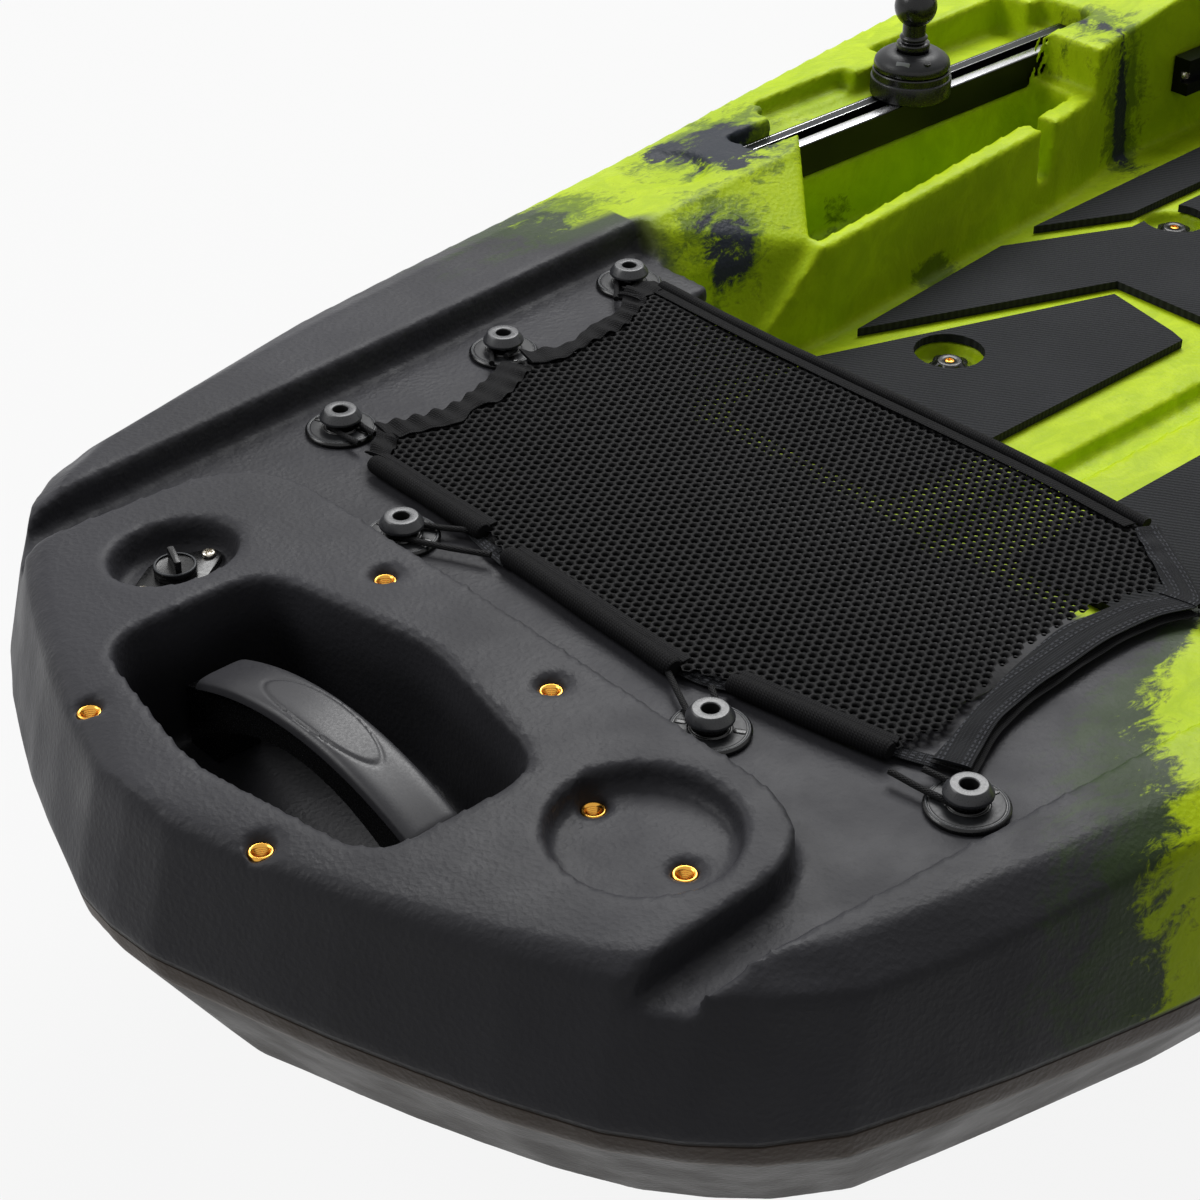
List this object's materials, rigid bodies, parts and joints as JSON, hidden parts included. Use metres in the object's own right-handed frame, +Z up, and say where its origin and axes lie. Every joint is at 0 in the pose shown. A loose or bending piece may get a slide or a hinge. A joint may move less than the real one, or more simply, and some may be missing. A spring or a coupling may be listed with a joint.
{
  "type": "fishing kayak",
  "caption": "Sit-on-top fishing kayak: bow with recessed handle, mesh-covered bow well, T-slot gear tracks with a sliding ball mount, padded floor, framed folding seat and tank well.",
  "frame": {"origin": "centre of the bounding box in plan, at the flat runners under the hull", "axes": "+X from the bow to the stern along the hull, +Y to port, +Z up"},
  "size_m": [3.35, 0.8916, 0.7756],
  "materials": {
    "hull_shell": "rotomoulded polyethylene, fine pebble grain, charcoal bow running into lime with dark green and charcoal camouflage",
    "brass": "turned brass, bright",
    "steel": "stainless, bright",
    "gloss_black": "injection-moulded nylon, semi-gloss black",
    "satin_grip": "satin dark grey moulding",
    "mesh_fabric": "black knitted mesh",
    "webbing": "black woven webbing and rolled hem",
    "bungee_cord": "black braided elastic cord",
    "eva_foam": "charcoal EVA foam with a fine diagonal texture",
    "anodised_track": "black anodised extrusion with bright lips",
    "seat_tube": "black powder-coated aluminium tube",
    "rubber": "matt black rubber"
  },
  "bodies": {
    "hull": {"hull": "hull_shell", "insert_1": "brass", "insert_2": "brass", "insert_3": "brass", "insert_4": "brass", "insert_5": "brass", "insert_6": "brass", "drain_flange": "gloss_black", "drain_screw_1": "steel", "drain_screw_2": "steel", "bow_handle_frame": "gloss_black", "bow_handle_grip": "satin_grip", "carry_handle_port": "gloss_black", "carry_handle_starboard": "gloss_black", "stern_handle": "gloss_black", "mesh_net": "mesh_fabric", "mesh_hem_front": "webbing", "mesh_hem_rear": "webbing", "mesh_strap_port": "webbing", "mesh_strap_starboard": "webbing", "bungee_button_1": "gloss_black", "bungee_loop_1": "bungee_cord", "bungee_button_2": "gloss_black", "bungee_loop_2": "bungee_cord", "bungee_button_3": "gloss_black", "bungee_loop_3": "bungee_cord", "bungee_button_4": "gloss_black", "bungee_loop_4": "bungee_cord", "bungee_button_5": "gloss_black", "bungee_loop_5": "bungee_cord", "bungee_button_6": "gloss_black", "bungee_loop_6": "bungee_cord", "bungee_button_7": "gloss_black", "bungee_loop_7": "bungee_cord", "floor_pad_port_1": "eva_foam", "floor_pad_port_2": "eva_foam", "floor_pad_port_3": "eva_foam", "floor_pad_starboard_1": "eva_foam", "floor_pad_starboard_2": "eva_foam", "floor_pad_starboard_3": "eva_foam", "floor_anchor_1": "gloss_black", "floor_anchor_2": "gloss_black", "floor_anchor_3": "gloss_black", "floor_anchor_4": "gloss_black", "gear_track_port": "anodised_track", "gear_track_starboard": "anodised_track", "foot_rail_port": "anodised_track", "foot_rail_starboard": "anodised_track", "seat_frame": "seat_tube", "seat_sling": "mesh_fabric"},
    "drain_seal": {"drain_seal": "rubber"},
    "drain_plug": {"drain_plug": "gloss_black"},
    "mount": {"mount_base": "gloss_black", "mount_ball": "rubber"},
    "mount_bolt": {"mount_bolt": "steel"},
    "mount_collar": {"mount_collar": "gloss_black"},
    "foot_pedal_port": {"foot_pedal_port": "gloss_black"},
    "foot_pedal_starboard": {"foot_pedal_starboard": "gloss_black"},
    "seat_back": {"seat_back_frame": "seat_tube", "back_sling": "mesh_fabric"}
  },
  "joints": [
    {"name": "drain_lift", "type": "slide", "parent": "hull", "child": "drain_seal", "axis": [0, 0, 1], "range_m": [0, 0.012]},
    {"name": "drain_turn", "type": "hinge", "parent": "drain_seal", "child": "drain_plug", "pos_m": [-1.55, 0.131, 0.2566], "axis": [0, 0, 1], "range_deg": [0, 1085]},
    {"name": "mount_slide", "type": "slide", "parent": "hull", "child": "mount", "axis": [1, 0, 0], "range_m": [-0.075, 0.07]},
    {"name": "collar_turn", "type": "hinge", "parent": "mount", "child": "mount_collar", "pos_m": [-0.917, 0.276, 0.273], "axis": [0, 0, 1], "range_deg": [0, 720]},
    {"name": "bolt_drop", "type": "slide", "parent": "mount", "child": "mount_bolt", "axis": [0, 0, 1], "range_m": [-0.00205, 0]},
    {"name": "pedal_slide_port", "type": "slide", "parent": "hull", "child": "foot_pedal_port", "axis": [1, 0, 0], "range_m": [-0.1, 0.17]},
    {"name": "pedal_slide_starboard", "type": "slide", "parent": "hull", "child": "foot_pedal_starboard", "axis": [1, 0, 0], "range_m": [-0.1, 0.17]},
    {"name": "seat_back_fold", "type": "hinge", "parent": "hull", "child": "seat_back", "pos_m": [0.1005, 0, 0.346], "axis": [0, 1, 0], "range_deg": [-104, 0]}
  ],
  "couplings": [
    {"joint": "drain_turn", "follows": "drain_lift", "rad_per_m": 1570.8},
    {"joint": "bolt_drop", "follows": "collar_turn", "m_per_rad": -0.00015915}
  ]
}
